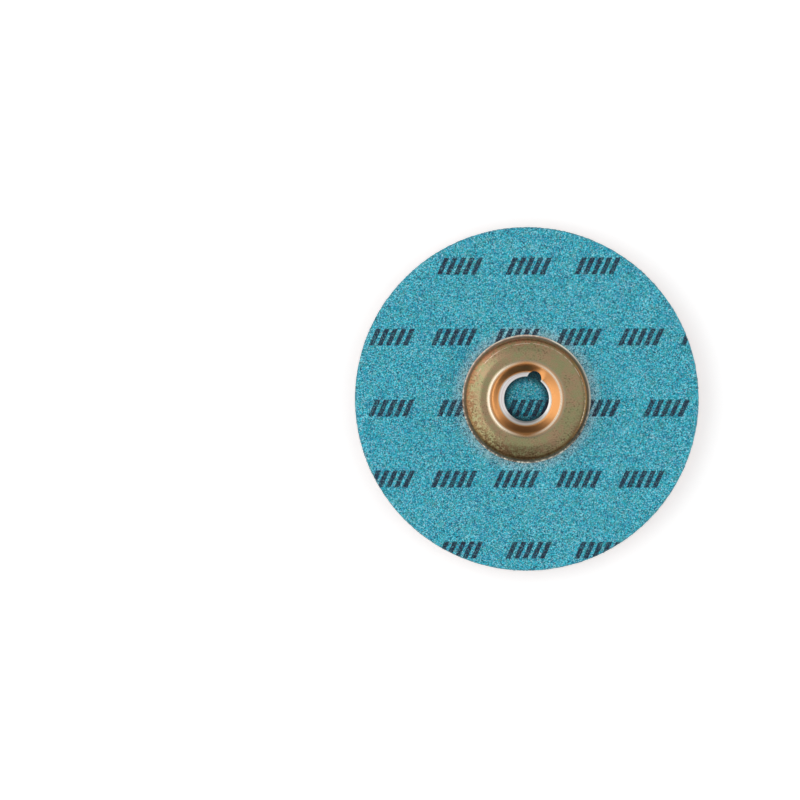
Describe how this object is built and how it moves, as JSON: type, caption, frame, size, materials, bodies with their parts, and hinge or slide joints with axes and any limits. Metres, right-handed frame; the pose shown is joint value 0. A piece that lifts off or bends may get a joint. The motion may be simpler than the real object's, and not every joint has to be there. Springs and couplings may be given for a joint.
{
  "type": "surface conditioning disc",
  "caption": "Round nonwoven abrasive disc on a stiff cloth back, with a domed steel hub whose bore lip is pressed into a coarse screw thread.",
  "frame": {"origin": "centre of the abrasive face, on the spin axis", "axes": "+Z along the spin axis from the abrasive face towards the hub; +X and +Y in the plane of the disc, with the hub's notch at about 70 degrees from +X"},
  "size_m": [0.075, 0.075, 0.0105],
  "materials": {
    "abrasive_web": "open, wiry nonwoven nylon web, maroon-brown, matte",
    "backing_cloth": "stiff resin-coated cloth, teal, fine grain, with worn dark ink marks",
    "hub_steel": "stamped sheet steel, yellow zinc finish, satin",
    "hub_adhesive": "cured adhesive, amber, hidden under the dome"
  },
  "bodies": {
    "root": {"abrasive_web": "abrasive_web", "backing_cloth": "backing_cloth", "hub": "hub_steel", "hub_adhesive": "hub_adhesive"}
  },
  "joints": []
}
